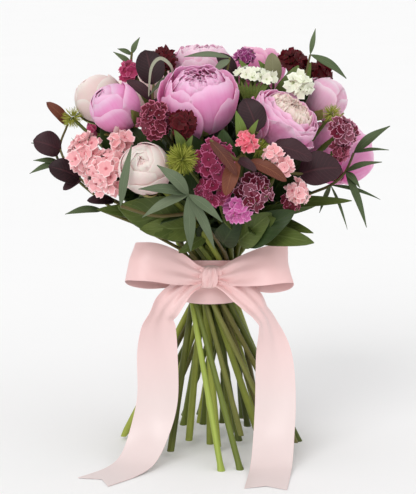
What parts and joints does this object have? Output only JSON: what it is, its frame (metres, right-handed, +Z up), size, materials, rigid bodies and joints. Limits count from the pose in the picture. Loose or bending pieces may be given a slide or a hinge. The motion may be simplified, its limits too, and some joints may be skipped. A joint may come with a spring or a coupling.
{
  "type": "flower bouquet",
  "caption": "Hand-tied bouquet of pink peonies, sweet william, purple smoke bush and eucalyptus on spiralled stems, tied with a satin ribbon and bow; it stands on its cut ends.",
  "frame": {"origin": "middle of the centre stem's level cut foot, on the surface that the bouquet stands on", "axes": "+Z up along the centre stem; -Y is the front, the side with the bow; +X is to the right seen from the front"},
  "size_m": [0.35, 0.2934, 0.421],
  "materials": {
    "petal_orchid_pink": "matte",
    "petal_blush": "matte",
    "petal_hot_pink": "matte",
    "floret_rose": "matte",
    "floret_crimson": "matte",
    "floret_plum": "matte",
    "floret_salmon": "matte",
    "floret_coral": "matte",
    "floret_ivory": "matte",
    "floret_violet": "matte",
    "stem_green": "satin",
    "eucalyptus_green": "matte",
    "smoke_bush_purple": "satin",
    "satin_ribbon": "satin",
    "string_jute": "matte"
  },
  "bodies": {
    "root": {"binding_string": "string_jute", "eucalyptus_front": "eucalyptus_green", "eucalyptus_left": "eucalyptus_green", "eucalyptus_right": "eucalyptus_green", "eucalyptus_top": "eucalyptus_green", "florets_burgundy": "floret_plum", "florets_coral": "floret_coral", "florets_crimson_top_left": "floret_crimson", "florets_crimson_top_right": "floret_crimson", "florets_magenta": "floret_rose", "florets_picotee": "floret_plum", "florets_plum_right": "floret_plum", "florets_rose_back": "floret_rose", "florets_rose_top_left": "floret_rose", "florets_salmon_back": "floret_salmon", "florets_salmon_left": "floret_salmon", "florets_salmon_low": "floret_salmon", "florets_salmon_small": "floret_salmon", "florets_violet": "floret_violet", "florets_white_flat": "floret_ivory", "florets_white_round": "floret_ivory", "peony_back_left_petals": "petal_blush", "peony_back_left_stem": "stem_green", "peony_back_low_petals": "petal_orchid_pink", "peony_back_low_stem": "stem_green", "peony_centre_petals": "petal_orchid_pink", "peony_centre_stem": "stem_green", "peony_front_pale_petals": "petal_blush", "peony_front_pale_stem": "stem_green", "peony_left_bud_petals": "petal_orchid_pink", "peony_left_bud_stem": "stem_green", "peony_left_pale_petals": "petal_blush", "peony_left_pale_stem": "stem_green", "peony_right_back_petals": "petal_orchid_pink", "peony_right_back_stem": "stem_green", "peony_right_edge_petals": "petal_orchid_pink", "peony_right_edge_stem": "stem_green", "peony_right_open_petals": "petal_orchid_pink", "peony_right_open_stem": "stem_green", "peony_top_petals": "petal_orchid_pink", "peony_top_right_petals": "petal_hot_pink", "peony_top_right_stem": "stem_green", "peony_top_stem": "stem_green", "ribbon_band": "satin_ribbon", "ribbon_bow": "satin_ribbon", "smoke_bush_left": "smoke_bush_purple", "smoke_bush_right": "smoke_bush_purple", "smoke_bush_top": "smoke_bush_purple", "sweet_william_spray_back": "stem_green", "sweet_william_spray_burgundy": "stem_green", "sweet_william_spray_coral": "stem_green", "sweet_william_spray_left": "stem_green", "sweet_william_spray_magenta": "stem_green", "sweet_william_spray_picotee": "stem_green", "sweet_william_spray_right": "stem_green", "sweet_william_spray_top_left": "stem_green", "sweet_william_spray_top_right": "stem_green", "sweet_william_spray_white": "stem_green"}
  },
  "joints": []
}
